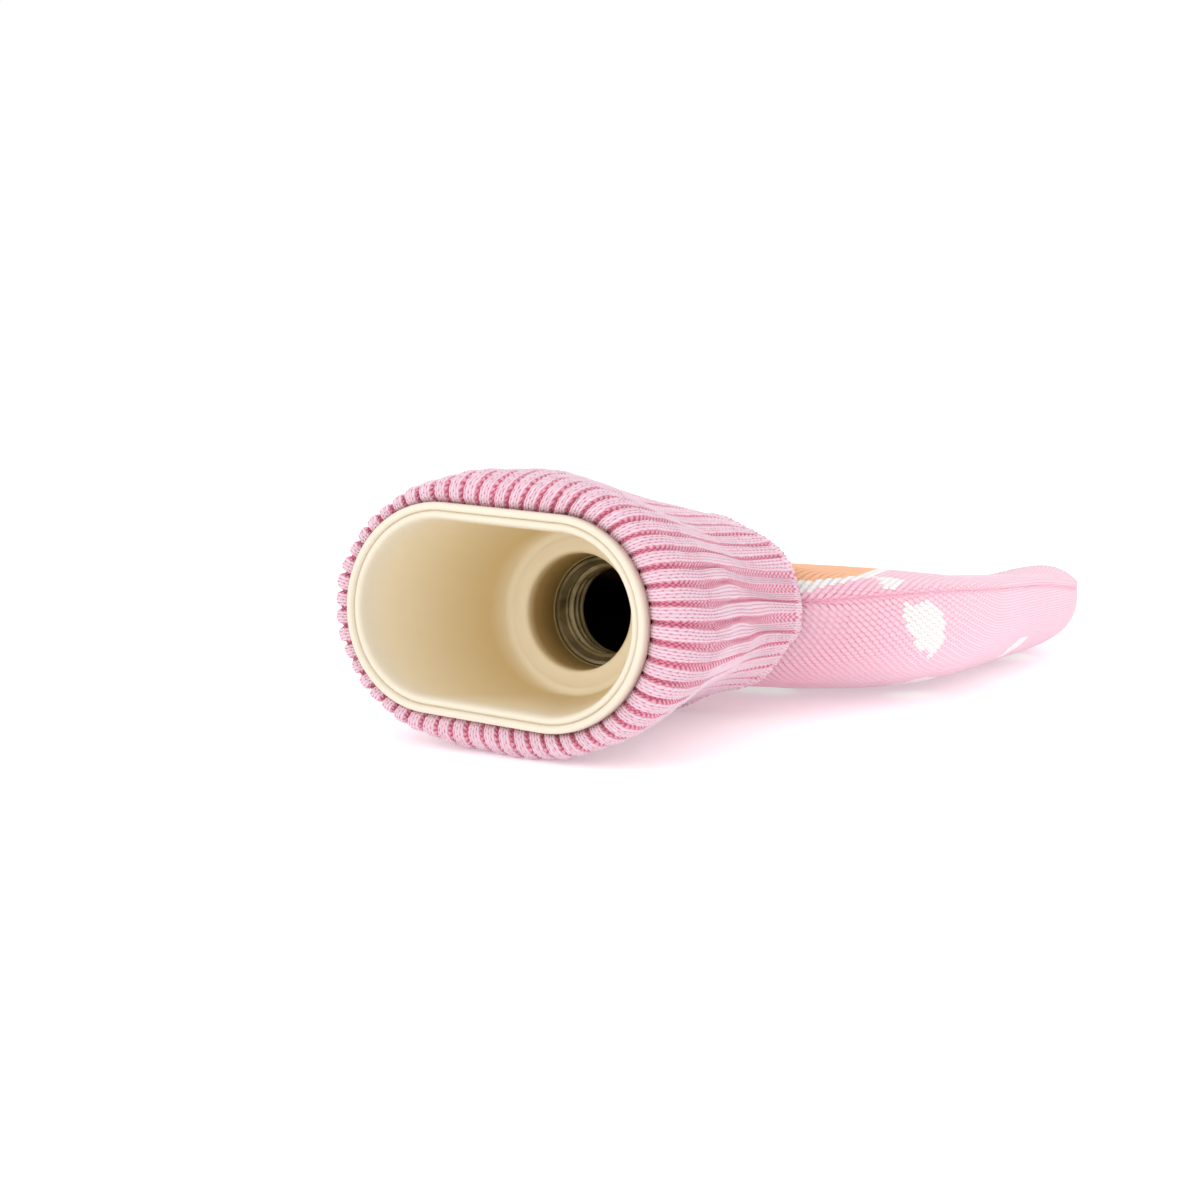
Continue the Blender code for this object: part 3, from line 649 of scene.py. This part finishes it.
def build_collar_part(name, start, stop, material, inner, replaced):
    """A closed band of the collar between two places along it, with its hidden face behind."""
    total_length = collar_surface()[2][-1]
    first, last = courses_along(np.array([start, stop]))
    count = int(round((last - first) * ROWS_PER_COURSE))
    courses = np.linspace(first, last, count + 1)[:, None]
    levels = levels_at(courses)
    left = total_length - levels
    ribs, wale, step = rib_columns(levels)
    place = ribs.mean(axis=0)
    turn = 2 * math.pi * place
    knit = step <= KNIT_STEPS
    lean, leg, wave = stitch_shape(wale, courses)
    lean = np.where(knit, lean, LEG_SLANT * 0.5)
    drift = rise(levels, 14.0, 20.0)
    wander = drift * sum(high * np.sin(turn * number + levels / length + begin)
                         for high, number, length, begin in RIB_WANDER)
    leaning = courses + lean * np.clip(np.minimum(courses - first, last - courses), 0.0, 1.0)
    base = sample_collar(levels_at(leaning), ribs + wander / RIBS)
    normal = outward(sample_collar(levels, ribs + wander / RIBS))
    # A rounded band of knit stands over each valley, in which the purl bumps are set like bricks.
    band = np.where(knit, quarter((step - KNIT_STEPS / 2) / (KNIT_STEPS / 2 + 0.5), 2.6), 0.0)
    off_middle = np.abs(step - KNIT_STEPS - COLUMNS_PER_WALE / 2) / COLUMNS_PER_WALE
    valley = np.where(knit, 0.0, 1.0 - off_middle)
    brick = np.select([step == KNIT_STEPS + 1, step == KNIT_STEPS + 3], [1.0, -1.0], 0.0)
    uneven = 1.0 + 0.18 * np.sin(turn * 17 + 0.6) + 0.12 * np.sin(levels / 7 + place * 40)
    # The ribs are bold on the roll and slack on the cuff.
    bold = 1.0 - 0.4 * rise(levels, 22.0, 12.0)
    height = in_mm(settings().rib_relief) * (band - 0.55 * valley) * uneven * bold
    height = height + in_mm(settings().yarn_relief) * np.where(
        knit, leg * (1.25 + 0.75 * wave) - 0.6, 0.9 * brick * wave)
    height = height * np.clip(left / 4.5, 0.25, 1.0) * np.clip(levels / 2.5, 0.45, 1.0)
    # The last course is bound off in a chain of loops.
    height = height + bell(left, 1.1, 1.0) * (0.95 + 0.12 * np.cos(2 * math.pi * wale))
    # Shallow folds of the slack cuff, and small waves at its free edge.
    folds = (0.75 * np.sin(turn * 4 + 0.8) * np.sin(levels / 17)
             + 0.45 * np.sin(turn * 9 + levels / 15)) * rise(levels, 9.0, 30.0)
    folds = folds + 0.7 * np.sin(turn * 11 + 1.1) * (1.0 - rise(left, 0.0, 12.0)) ** 2
    # Painted light and shade: yarn that lies low is painted deeper in colour, and the chain at the edge is
    # painted the palest.
    purl = (0.46 + 0.34 * bell(levels, ROLL_CREST, 7.0) + 0.1 * drift
            + 0.3 * open_valley(wale // WALES_PER_RIB, levels))
    # Knit bands are painted paler at their crests, and a painted highlight runs in a band over the roll about
    # 25 mm along the collar.
    painted_shading = np.where(knit, 0.66 + 0.34 * band, purl) + 0.22 * bell(levels, 25.0, 3.5)
    # A painted shadow lies just behind the chain at the free edge.
    painted_shading = painted_shading * (1.0 - 0.12 * bell(left, 2.9, 0.6))
    # The chain itself gets the palest painted light.
    painted_shading = np.where(left < 2.1, 1.3, painted_shading)
    hidden = inner(base, normal, place)
    points = np.concatenate([base + normal * (height + folds)[..., None], hidden])
    points[..., 1] += edge_waves(np.concatenate([levels, hidden_levels(levels, len(hidden), inner)]),
                                 total_length, place)
    points[..., 2] = np.maximum(points[..., 2], 0.0)
    rows, width = points.shape[:2]
    uv = np.zeros((rows, width, 2))
    uv[..., 0] = wale
    uv[:count + 1, :, 1] = leaning
    yarn = np.full((rows, width), HIDDEN_PAINTED_SHADING)
    yarn[:count + 1] = painted_shading
    return mesh_piece(name, points.reshape(-1, 3), grid_faces(rows, width, True, True), material,
                      uv=uv.reshape(-1, 2), period=RIBS * WALES_PER_RIB, painted_shading=yarn.ravel(),
                      replaced=replaced)


def edge_waves(levels, total_length, place):
    """How far back the cuff's free edge wanders, fading away from the edge."""
    near = (1.0 - rise(total_length - levels, 0.0, 16.0)) ** 2
    return near * sum(high * np.sin(waves * 2 * math.pi * place + start) for waves, high, start in EDGE_WAVES)


def hidden_levels(levels, count, inner):
    """Places along the collar of the hidden rows; those of the fold are clear of the free edge."""
    if inner is fold_inside:
        return np.zeros((count, 1))
    return np.linspace(levels[-1], levels[0], count)


def collar_split():
    """Place along the collar where its fold ends and its cuff starts, and the place of its free edge."""
    along = collar_surface()[2]
    ring, behind = FOLD_END
    return float(levels_at(round(float(courses_along(along[ring] + behind))))), along[-1]


def hidden_rows(base, normal, last, count):
    """Rows of the cloth's hidden face, from under the last row of its outside up to another."""
    picks = np.linspace(len(base) - 1, last, count).astype(int)
    return [base[k] - normal[k] * HIDDEN_DEPTH for k in picks]


def fold_inside(base, normal, place):
    """The fold's hidden face, and the sleeve that goes down the neck inside it."""
    rows = hidden_rows(base, normal, len(base) * 0.35, 7)
    for back, stand in ((8.0, GAP + KNIT + 0.4), (9.0, GAP + KNIT), (18.0, GAP + KNIT), (40.0, GAP + KNIT),
                        (SLEEVE_END, GAP + KNIT), (SLEEVE_END, GAP), (40.0, GAP), (18.0, GAP), (5.5, GAP)):
        x, z = track(funnel_section(back, stand), place)
        rows.append(on_neck(x, z, back))
    return np.array(rows)


def cuff_inside(base, normal, place):
    """The cuff's hidden face."""
    return np.array(hidden_rows(base, normal, 0, 12))


# ---------------------------------------------------------------- the body's panels

def panel_rows(upper, course):
    """Distances back of the courses' rows, evenly spaced along the fabric."""
    back = np.concatenate([np.linspace(BODY_START, LENGTH - END_ROUNDING, 3000, endpoint=False),
                           LENGTH - END_ROUNDING * (1 - np.sin(np.linspace(0, math.pi / 2, 1500)))])
    run = np.zeros(len(back))
    for across in (0.0, 0.5, -0.5):
        points = panel_points(upper, np.full(len(back), across), back)
        run += np.concatenate([[0.0], np.cumsum(np.linalg.norm(np.diff(points, axis=0), axis=-1))]) / 3
    count = int(run[-1] / course)
    return np.interp(np.linspace(0, run[-1], count + 1), run, back)


def heart(x, y):
    """True inside a plain heart about two units wide, its point towards -Y."""
    return x ** 2 + (1.15 * y - 0.75 * np.sqrt(np.abs(x)) + 0.15) ** 2 < 1.0


def stitch_dye(motifs, wale_middle, course_middle):
    """White and accent yarn of each stitch, from motifs on the flat fabric."""
    dye = np.zeros((*np.broadcast_shapes(wale_middle.shape, course_middle.shape), 4))
    for yarn, across, back, size, turn in motifs:
        x, y = (wale_middle - across) / size, (course_middle - back) / size
        inside = heart(math.cos(turn) * x + math.sin(turn) * y, -math.sin(turn) * x + math.cos(turn) * y)
        dye[inside] = 0.0
        dye[inside, yarn] = 1.0
    return dye


def build_panel(name, upper, motifs, material, replaced):
    """One panel of stocking stitch, its wales parallel to the length and ending at the side seam."""
    wale = in_mm(settings().wale)
    course = in_mm(settings().course)
    backs = panel_rows(upper, course)
    sections = np.sin(np.linspace(-math.pi / 2, math.pi / 2, 900))
    arcs = []
    for back in backs:
        points = panel_points(upper, sections, np.full(len(sections), back))
        arc = np.concatenate([[0.0], np.cumsum(np.linalg.norm(np.diff(points, axis=0), axis=-1))])
        arcs.append(arc - np.interp(0.0, sections, arc))
    wales = int(max(arc[-1] for arc in arcs) / wale) + 1
    columns = np.arange(-wales * COLUMNS_PER_WALE, wales * COLUMNS_PER_WALE + 1)
    if not upper:
        # The part that lies on the surface isn't seen, so it has a column for each wale only.
        flat = np.abs(columns) < RESTING_WALES * COLUMNS_PER_WALE
        columns = columns[~flat | (columns % COLUMNS_PER_WALE == 0)]
    spot = columns * wale / COLUMNS_PER_WALE
    across = np.array([np.interp(spot, arc, sections) for arc in arcs])
    ends = np.array([[arc[0], arc[-1]] for arc in arcs])
    near_seam = np.minimum(spot[None, :] - ends[:, :1], ends[:, 1:] - spot[None, :])
    numbers = np.arange(len(backs))[:, None]
    lean, leg, _ = stitch_shape(columns / COLUMNS_PER_WALE, numbers)
    soft = rise(near_seam, 0.0, 1.2)
    shifted = np.clip(backs[:, None] + lean * course * soft, BODY_START, LENGTH)
    shifted[0], shifted[-1] = BODY_START, LENGTH
    base = panel_points(upper, across, shifted)
    tiny = 1e-3
    inside = np.clip(across, -EDGE_PART, EDGE_PART)
    low = np.clip(shifted, BODY_START + 0.2, LENGTH - 0.2)
    d_across = panel_points(upper, inside + tiny, low) - panel_points(upper, inside - tiny, low)
    d_back = panel_points(upper, inside, low + 0.1) - panel_points(upper, inside, low - 0.1)
    normal = np.cross(d_across, d_back)
    normal /= np.linalg.norm(normal, axis=-1, keepdims=True) + 1e-12
    if not upper:
        normal = -normal
    # The stitches stand out a little, and the seam draws the fabric in.
    drawn_in = 1 - rise(near_seam, 0.0, 3.0)
    height = PANEL_RELIEF * in_mm(settings().yarn_relief) * (leg - 0.6) * soft - 0.35 * drawn_in ** 2
    # Painted shade: the yarn is painted darker over the shoulders beside the cuff, in the cuff's shade, and
    # within 1.5 mm of the seam, where the seam draws it in.
    cuff_shade = bell(backs[:, None], 76.0, 24.0)
    painted_shading = (0.8 + 0.2 * rise(near_seam, 0.0, 1.5)) * (1.0 - 0.24 * cuff_shade)
    hidden_across = np.linspace(1, -1, PANEL_HIDDEN_COLUMNS)
    hidden = np.array([panel_points(upper, hidden_across, np.full(PANEL_HIDDEN_COLUMNS, back), KNIT)
                       for back in backs])
    points = np.concatenate([base + normal * height[..., None], hidden], axis=1)
    points[..., 2] = np.maximum(points[..., 2], 0.0)
    rows, width = points.shape[:2]
    wale_middle = (np.floor((spot[:-1] + spot[1:]) / 2 / wale) + 0.5) * wale
    course_middle = (np.arange(rows - 1) + 0.5) * course
    dye = np.zeros((rows - 1, width, 4))
    dye[:, :len(wale_middle)] = stitch_dye(motifs, wale_middle[None, :], course_middle[:, None])
    yarn = np.concatenate([painted_shading, np.full((rows, PANEL_HIDDEN_COLUMNS), HIDDEN_PAINTED_SHADING)], axis=1)
    uv = np.zeros((rows, width, 2))
    uv[:, :len(spot), 0] = spot / wale
    uv[:, :len(spot), 1] = numbers + lean * soft
    caps = []
    for row in (0, rows - 1):
        caps += zip_cap(row * width, len(spot), PANEL_HIDDEN_COLUMNS)
    return mesh_piece(name, points.reshape(-1, 3), grid_faces(rows, width, False, True), material, caps,
                      uv=uv.reshape(-1, 2), painted_shading=yarn.ravel(), dye=dye.reshape(-1, 4),
                      replaced=replaced)


def zip_cap(first, outer_count, inner_count):
    """Triangles that close a ring's end between its outer run and its inner run, which goes the other way."""
    triangles = []
    inner = 0
    last = first + outer_count + inner_count - 1
    for outer in range(outer_count - 1):
        triangles.append((first + outer, first + outer + 1, last - inner))
        wanted = int(round((outer + 1) / (outer_count - 1) * (inner_count - 1)))
        while inner < wanted:
            triangles.append((first + outer + 1, last - inner - 1, last - inner))
            inner += 1
    return triangles


# ---------------------------------------------------------------- the bottle

def round_section(back, half_width, half_height):
    """Points round a section of the neck."""
    x, z = track(stadium(half_width, half_height), np.arange(ROUND_POINTS) / ROUND_POINTS)
    return on_neck(x, z, back)


def body_section(back):
    """Outside of the bottle's body, inside the fabric and the gap under it."""
    angle = 2 * math.pi * np.arange(ROUND_POINTS) / ROUND_POINTS
    backs = np.full(ROUND_POINTS, back)
    inset = KNIT + BODY_GAP
    top = panel_points(True, np.cos(angle), backs, inset)
    return np.where((angle <= math.pi)[:, None], top, panel_points(False, np.cos(angle), backs, inset))


def cavity_section(back):
    """Hollow inside the bottle's body."""
    angle = 2 * math.pi * np.arange(ROUND_POINTS) / ROUND_POINTS
    thick = KNIT + BODY_GAP + RUBBER
    edge = panel_points(True, np.ones(1), np.array([back]), CAVITY_INSET)[0]
    part = edge[0] / plan_outline(edge[1] - RIM_Y)
    backs = np.full(ROUND_POINTS, edge[1] - RIM_Y)
    top = panel_points(True, np.cos(angle) * part, backs)[:, 2] - thick
    low = panel_points(False, np.cos(angle) * part, backs)[:, 2] + thick
    upright = np.copysign(np.abs(np.sin(angle)) ** 0.7, np.sin(angle))
    z = (top + low) / 2 + np.maximum(1.2, (top - low) / 2) * upright
    return np.stack([edge[0] * np.cos(angle), np.full(ROUND_POINTS, edge[1]), z], axis=-1)


def bottle_sections():
    """Sections from the far end outside, round the rim, down the funnel and to the far end of the hollow."""
    ends = LENGTH - END_ROUNDING * (1 - np.sin(np.linspace(math.pi / 2, 0, 9)))
    backs = np.concatenate([ends, np.linspace(LENGTH - END_ROUNDING, BODY_START, 40)[1:]])
    sections = [body_section(back) for back in backs]
    for back in FUNNEL_BACKS:
        half, high = eased(FUNNEL_OUTSIDE, np.array([back]))[0]
        sections.append(round_section(back, half, high))
    for back, inward in LIP_ROWS:
        sections.append(round_section(back, MOUTH_HALF_WIDTH - inward, MOUTH_HALF_HEIGHT - inward))
    start_half, start_high = MOUTH_HALF_WIDTH - LIP_WIDTH, MOUTH_HALF_HEIGHT - LIP_WIDTH
    for part in np.linspace(0.0, 1.0, 24):
        back = LIP_DEPTH + (FUNNEL_DEPTH - LIP_DEPTH) * part
        half = start_half + (FLOOR_RADIUS - start_half) * part ** 1.1
        sections.append(round_section(back, half, start_high + (FLOOR_RADIUS - start_high) * part))
    # The funnel's floor is slightly dished, and the recess and the bore follow.
    floor = FUNNEL_DEPTH
    for back, radius in ((floor + 0.7, FLOOR_RADIUS - 0.35), (floor + 1.2, FLOOR_RADIUS - 1.0),
                         (floor + 1.45, FLOOR_RADIUS - 1.6), (floor + 1.3, FLOOR_RADIUS - 2.0),
                         (floor + 1.2, FLOOR_RADIUS - 2.6), (floor + 1.3, RECESS_RADIUS + 1.5),
                         (floor + 1.5, RECESS_RADIUS + 0.6), (floor + 2.0, RECESS_RADIUS + 0.12),
                         (floor + 2.8, RECESS_RADIUS), (floor + 6.0, RECESS_RADIUS - 0.15),
                         (floor + RECESS_DEPTH + 2.0, RECESS_RADIUS - 0.3),
                         (floor + RECESS_DEPTH + 2.2, BORE_RADIUS), (BORE_END - 3.0, BORE_RADIUS),
                         (BORE_END, BORE_RADIUS + 1.5)):
        sections.append(round_section(back, radius, radius))
    sections += [cavity_section(back) for back in CAVITY_BACKS]
    return np.array(sections)


def insert_sections():
    """Sections of the threaded insert, inside and then outside; the thread climbs once a turn."""
    turn = np.arange(ROUND_POINTS) / ROUND_POINTS
    angle = 2 * math.pi * turn
    rows = []
    for back in np.linspace(INSERT_START, INSERT_START + INSERT_LENGTH, 90):
        inward = back - INSERT_START
        climbed = ((inward - THREAD_START) / THREAD_PITCH - turn) % 1.0
        crest = np.clip(1.0 - np.abs((climbed - 0.5) / 0.33) ** 2.4, 0.0, 1.0)
        radius = THREAD_ROOT - (THREAD_ROOT - THREAD_CREST) * crest * rise(inward, THREAD_START, 1.0)
        radius = radius + INSERT_CHAMFER * (1.0 - rise(inward, 0.0, THREAD_START))
        rows.append(on_neck(radius * np.cos(angle), radius * np.sin(angle), back))
    for back in (INSERT_START + INSERT_LENGTH, INSERT_START):
        rows.append(on_neck(INSERT_RADIUS * np.cos(angle), INSERT_RADIUS * np.sin(angle), back))
    return np.array(rows)


# ---------------------------------------------------------------- sizes and colours that a user would change

class CoverSettings(bpy.types.PropertyGroup):
    """Stitches, sRGB hex colours, camera and lights of the cover"""

    wale: bpy.props.FloatProperty(
        name="Stitch width", description="Width of a stitch of the body", default=0.0016, min=0.0008,
        precision=5, unit="LENGTH")
    course: bpy.props.FloatProperty(
        name="Stitch height", description="Height of a stitch of the body", default=0.00125, min=0.0006,
        precision=5, unit="LENGTH")
    rib_relief: bpy.props.FloatProperty(
        name="Rib height", description="Height of a rib over its valley", default=0.00095, min=0.0,
        precision=5, unit="LENGTH")
    yarn_relief: bpy.props.FloatProperty(
        name="Yarn height", description="Height of a stitch over the line beside it", default=0.00024,
        min=0.0, precision=5, unit="LENGTH")
    # Pinks of the knit's ramp: deep in the lines between stitches and in painted shade, pale in painted light
    # on the crests.
    deep: bpy.props.StringProperty(
        name="Deep pink", description="Yarn between the stitches", default="#CB4F70")
    middle: bpy.props.StringProperty(name="Pink", description="Yarn on the flanks", default="#EBA1B7")
    light: bpy.props.StringProperty(name="Pale pink", description="Yarn on the crests", default="#EFD3DF")
    white: bpy.props.StringProperty(name="White", description="Yarn of the hearts", default="#F6F2F0")
    accent: bpy.props.StringProperty(
        name="Orange", description="Yarn of the large heart", default="#F8BA8E")
    floor: bpy.props.StringProperty(name="Floor", description="Colour of the floor", default="#FFFFFF")
    lens: bpy.props.FloatProperty(
        name="Lens", description="Focal length of the camera", default=54.0, min=10.0, unit="CAMERA")
    top_power: bpy.props.FloatProperty(
        name="Top light", description="Power of the soft box overhead", default=3.0, min=0.0, unit="POWER")
    front_power: bpy.props.FloatProperty(
        name="Front light", description="Power of the soft box left of the camera", default=3.2, min=0.0,
        unit="POWER")


class COVER_OT_fold(bpy.types.Operator):
    """Knits the collar's sleeve and its rolled fold at the rim"""

    bl_idname = "cover.fold"
    bl_label = "Collar fold"

    def execute(self, context):
        material = knit_material("ribbed acrylic knit", True)
        item = build_collar_part("rib_fold", 0.0, collar_split()[0], material, fold_inside, ["ribbed_collar"])
        return {"FINISHED"}


class COVER_OT_cuff(bpy.types.Operator):
    """Knits the turned-down cuff with its bound-off edge"""

    bl_idname = "cover.cuff"
    bl_label = "Collar cuff"

    def execute(self, context):
        material = bpy.data.materials["ribbed acrylic knit"]
        item = build_collar_part("rib_cuff", *collar_split(), material, cuff_inside, ["ribbed_collar"])
        return {"FINISHED"}


class COVER_OT_front(bpy.types.Operator):
    """Knits the upper panel with its hearts"""

    bl_idname = "cover.front"
    bl_label = "Front panel"

    # yarn (0 white, 1 orange), mm across, mm from the sleeve, half width in mm, turn in radians
    MOTIFS = (
        (0, 0.0, 76.5, 57.5, math.pi),
        (1, 0.0, 76.0, 55.0, math.pi),
        (0, 63.5, 42.0, 4.2, 2.4),
        (0, -62.0, 138.0, 9.0, 2.7),
        (0, 52.0, 136.0, 8.0, 3.5),
        (0, 14.0, 158.0, 9.0, 3.3),
        (0, -30.0, 178.0, 9.0, 2.8),
        (0, 38.0, 170.0, 8.5, 3.4),
    )

    def execute(self, context):
        material = knit_material("stocking stitch acrylic knit", False)
        item = build_panel("knit_front", True, self.MOTIFS, material, ["front_panel"])
        return {"FINISHED"}


class COVER_OT_back(bpy.types.Operator):
    """Knits the lower panel, which comes up to the side seam"""

    bl_idname = "cover.back"
    bl_label = "Back panel"

    # yarn (0 white, 1 orange), mm across, mm from the sleeve, half width in mm, turn in radians
    MOTIFS = (
        (0, 77.0, 46.5, 6.6, -2.36),
        (0, 79.5, 106.0, 5.5, 2.4),
        (0, 60.0, 72.0, 7.0, 2.9),
        (0, 60.0, 150.0, 9.0, -2.6),
        (0, 20.0, 60.0, 9.0, 3.3),
        (0, 10.0, 120.0, 9.0, 2.8),
        (0, -30.0, 88.0, 9.0, 3.4),
        (0, -24.0, 160.0, 9.0, 2.6),
        (0, -66.0, 60.0, 9.0, 3.6),
        (0, -76.0, 110.0, 9.0, 2.7),
        (0, -64.0, 158.0, 9.0, 3.3),
    )

    def execute(self, context):
        material = bpy.data.materials["stocking stitch acrylic knit"]
        item = build_panel("knit_back", False, self.MOTIFS, material, ["back_panel"])
        return {"FINISHED"}


class COVER_OT_bottle(bpy.types.Operator):
    """Moulds the rubber bottle: funnel, neck and hollow body in one piece"""

    bl_idname = "cover.bottle"
    bl_label = "Bottle"

    def execute(self, context):
        sections = bottle_sections()
        rows = len(sections)
        caps = []
        for first in (0, (rows - 1) * ROUND_POINTS):
            for number in range(ROUND_POINTS // 2):
                a, b = first + number, first + number + 1
                c = first + (ROUND_POINTS - number - 1) % ROUND_POINTS
                d = first + (ROUND_POINTS - number) % ROUND_POINTS
                caps += [face for face in ((a, b, c), (a, c, d)) if len(set(face)) == 3]
        mesh_piece("bottle", sections.reshape(-1, 3), grid_faces(rows, ROUND_POINTS, False, True),
                   rubber_material(), caps, replaced=["rubber_bottle"], sharp=50.0)
        return {"FINISHED"}


class COVER_OT_insert(bpy.types.Operator):
    """Turns the threaded metal insert of the neck"""

    bl_idname = "cover.insert"
    bl_label = "Threaded insert"

    def execute(self, context):
        sections = insert_sections()
        mesh_piece("threaded_insert", sections.reshape(-1, 3),
                   grid_faces(len(sections), ROUND_POINTS, True, True), insert_material(),
                   replaced=["neck_insert"], sharp=40.0)
        return {"FINISHED"}


class COVER_OT_stage(bpy.types.Operator):
    """Adds the pale floor, the soft light and the camera"""

    bl_idname = "cover.stage"
    bl_label = "Stage"

    def execute(self, context):
        bpy.ops.mesh.primitive_plane_add(size=8.0, location=(0, 0, 0))
        floor = context.object
        floor.name = "floor"
        # Matt white paper, which glows a little so that it stays pale round the cover.
        paint = linear(settings().floor)
        material, _ = new_material("white paper", Roughness=0.9, Base_Color=paint, Emission_Color=paint,
                                   Emission_Strength=FLOOR_GLOW)
        floor.data.materials.append(material)
        world = bpy.data.worlds.new("studio")
        world.use_nodes = True
        background = world.node_tree.nodes["Background"]
        background.inputs["Color"].default_value = linear("#FFFFFF")
        background.inputs["Strength"].default_value = WORLD_STRENGTH
        context.scene.world = world
        context.scene.view_settings.view_transform = "Standard"
        # One wide soft box overhead and a smaller one on the left of the camera.
        for (place, size), energy in ((TOP_BOX, settings().top_power), (FRONT_BOX, settings().front_power)):
            bpy.ops.object.light_add(type="AREA", location=place)
            lamp = context.object
            lamp.data.size = size
            lamp.data.energy = energy
            lamp.rotation_euler = (-lamp.location).to_track_quat("-Z", "Y").to_euler()
        self.add_camera(context)
        return {"FINISHED"}

    def add_camera(self, context):
        """Looks into the funnel as the photo does"""
        right = Vector((math.cos(CAMERA_AZIMUTH), math.sin(CAMERA_AZIMUTH), 0))
        level = math.cos(CAMERA_ELEVATION)
        back = Vector((math.sin(CAMERA_AZIMUTH) * level, -math.cos(CAMERA_AZIMUTH) * level,
                       math.sin(CAMERA_ELEVATION)))
        up = back.cross(right)
        far, aside, above = CAMERA_OFFSET
        place = (Vector((0, RIM_Y, MOUTH_HEIGHT)) + back * far + right * aside + up * above) * MM
        turn = Matrix((right, up, back)).transposed().to_4x4()
        bpy.ops.object.camera_add()
        camera = context.object
        camera.data.lens = settings().lens
        camera.data.sensor_width = 36.0
        camera.data.clip_start = 0.01
        camera.matrix_world = Matrix.Translation(place) @ turn
        context.scene.camera = camera


class COVER_PT_sidebar(bpy.types.Panel):
    """Buttons that build the cover piece by piece"""

    bl_idname = "COVER_PT_sidebar"
    bl_label = "Bottle cover"
    bl_space_type = "VIEW_3D"
    bl_region_type = "UI"
    bl_category = "Bottle cover"

    def draw(self, context):
        for name in CoverSettings.__annotations__:
            self.layout.prop(context.scene.cover_settings, name)
        for piece in PIECES:
            self.layout.operator(piece.bl_idname)


PIECES = (COVER_OT_stage, COVER_OT_bottle, COVER_OT_insert, COVER_OT_fold, COVER_OT_cuff, COVER_OT_front,
          COVER_OT_back)
CLASSES = (CoverSettings, *PIECES, COVER_PT_sidebar)


def register():
    """Makes the classes and the settings known to Blender."""
    for cls in CLASSES:
        bpy.utils.register_class(cls)
    bpy.types.Scene.cover_settings = bpy.props.PointerProperty(type=CoverSettings)


def unregister():
    """Takes them out again."""
    del bpy.types.Scene.cover_settings
    for cls in reversed(CLASSES):
        bpy.utils.unregister_class(cls)


def main():
    """Builds every piece and the stage."""
    register()
    for piece in PIECES:
        group, name = piece.bl_idname.split(".")
        getattr(getattr(bpy.ops, group), name)()


if __name__ == "__main__":
    main()
